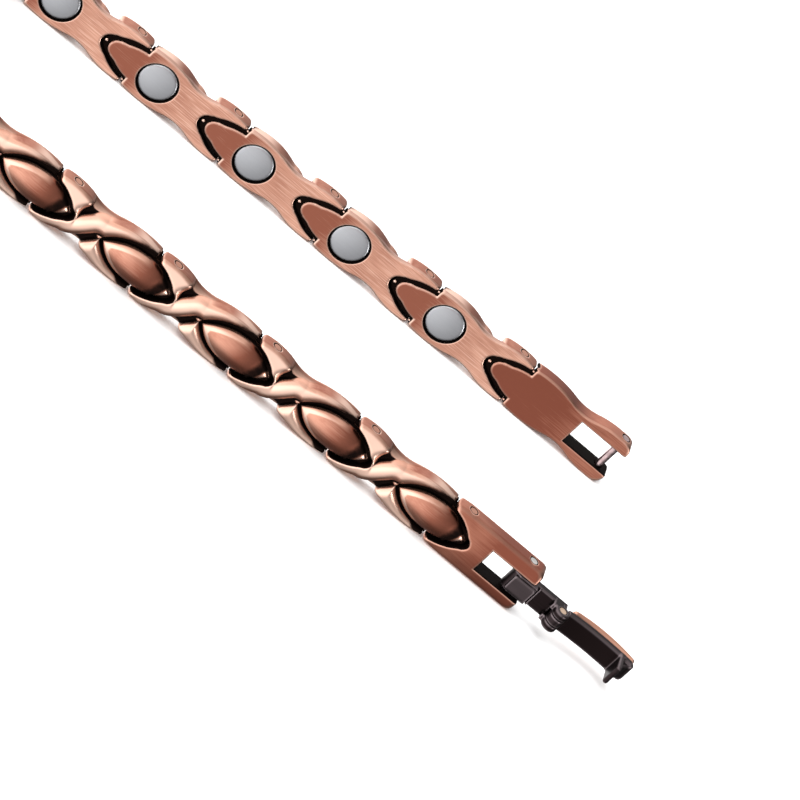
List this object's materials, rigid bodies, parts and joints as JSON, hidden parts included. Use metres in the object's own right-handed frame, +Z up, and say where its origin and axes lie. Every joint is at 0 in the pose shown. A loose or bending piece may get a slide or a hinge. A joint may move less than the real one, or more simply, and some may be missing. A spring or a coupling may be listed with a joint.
{
  "type": "link bracelet with magnets and a fold-over clasp",
  "caption": "Antique-copper link bracelet with S-shaped raised bands and domed eyes on the front, round magnets in the back and an open fold-over clasp.",
  "frame": {"origin": "middle of the bounding box on the floor", "axes": "+X towards the free ends along the straight strands, +Y from the clasp strand to the bar strand, +Z up across the band's width"},
  "size_m": [0.1112, 0.0402, 0.0068],
  "materials": {
    "copper": "brushed, with dark patina in the grooves",
    "magnet": "satin",
    "pin": "satin",
    "clasp_dark": "dark polished",
    "cap_copper": "brushed"
  },
  "bodies": {
    "chain": {"link_01": "copper", "link_02": "copper", "link_03": "copper", "link_04": "copper", "link_05": "copper", "link_06": "copper", "link_07": "copper", "link_08": "copper", "link_09": "copper", "link_10": "copper", "link_11": "copper", "link_12": "copper", "link_13": "copper", "magnet_01": "magnet", "magnet_02": "magnet", "magnet_03": "magnet", "magnet_04": "magnet", "magnet_05": "magnet", "magnet_06": "magnet", "magnet_07": "magnet", "magnet_08": "magnet", "magnet_09": "magnet", "magnet_10": "magnet", "magnet_11": "magnet", "magnet_12": "magnet", "magnet_13": "magnet", "joint_pin_01": "pin", "joint_pin_02": "pin", "joint_pin_03": "pin", "joint_pin_04": "pin", "joint_pin_05": "pin", "joint_pin_06": "pin", "joint_pin_07": "pin", "joint_pin_08": "pin", "joint_pin_09": "pin", "joint_pin_10": "pin", "joint_pin_11": "pin", "joint_pin_12": "pin", "joint_pin_13": "pin", "joint_pin_14": "pin", "end_link_clasp": "copper", "end_link_bar": "copper", "catch_bar": "pin", "clasp_pin": "pin"},
    "arm": {"clasp_arm": "clasp_dark", "cover_pin": "pin"},
    "cover": {"clasp_cover": "clasp_dark", "cover_cap": "cap_copper"}
  },
  "joints": [
    {"name": "clasp_swing", "type": "hinge", "parent": "chain", "child": "arm", "pos_m": [0.03874, -0.0172, 0.0034], "axis": [0, 0, 1], "range_deg": [-75, 75]},
    {"name": "cover_fold", "type": "hinge", "parent": "arm", "child": "cover", "pos_m": [0.04504, -0.0183, 0.0034], "axis": [0, 0, -1], "range_deg": [0, 180]}
  ]
}
